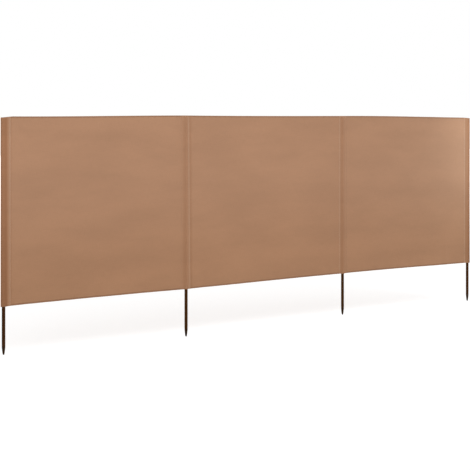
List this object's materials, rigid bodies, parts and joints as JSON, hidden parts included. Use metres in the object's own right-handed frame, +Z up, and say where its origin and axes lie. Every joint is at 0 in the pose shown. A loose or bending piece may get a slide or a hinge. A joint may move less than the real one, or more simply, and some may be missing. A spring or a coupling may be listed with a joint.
{
  "type": "beach windbreak",
  "caption": "Folding fabric windbreak: bays of brown cloth between pointed steel poles in sewn sleeves, pushed into sand; the end bays fold at the inner poles.",
  "frame": {"origin": "centre of the flat end of the second pole's spike, counted from the left", "axes": "+X along the cloth from left to right as seen from the front, +Y away from the front, +Z up along the poles"},
  "size_m": [4.028, 0.025, 1.528],
  "materials": {
    "cloth": "plain woven brown canvas",
    "hem_cloth": "turned and stitched edge of the same canvas",
    "sleeve_cloth": "doubled canvas sleeve round a pole",
    "pole_paint": "dark brown powder coat on steel tube",
    "spike_paint": "dark brown coated pointed end, worn by sand"
  },
  "bodies": {
    "middle_bay": {"panel_2": "cloth", "top_hem_2": "hem_cloth", "bottom_hem_2": "hem_cloth", "sleeve_2": "sleeve_cloth", "sleeve_3": "sleeve_cloth", "pole_2": "pole_paint", "pole_3": "pole_paint", "spike_2": "spike_paint", "spike_3": "spike_paint"},
    "left_bay": {"panel_1": "cloth", "top_hem_1": "hem_cloth", "bottom_hem_1": "hem_cloth", "sleeve_1": "sleeve_cloth", "pole_1": "pole_paint", "spike_1": "spike_paint"},
    "right_bay": {"panel_3": "cloth", "top_hem_3": "hem_cloth", "bottom_hem_3": "hem_cloth", "sleeve_4": "sleeve_cloth", "pole_4": "pole_paint", "spike_4": "spike_paint"}
  },
  "joints": [
    {"name": "left_fold", "type": "hinge", "parent": "middle_bay", "child": "left_bay", "pos_m": [0, 0, 0.928], "axis": [0, 0, 1], "range_deg": [-90, 165]},
    {"name": "right_fold", "type": "hinge", "parent": "middle_bay", "child": "right_bay", "pos_m": [1.37, 0, 0.928], "axis": [0, 0, 1], "range_deg": [-90, 165]}
  ]
}
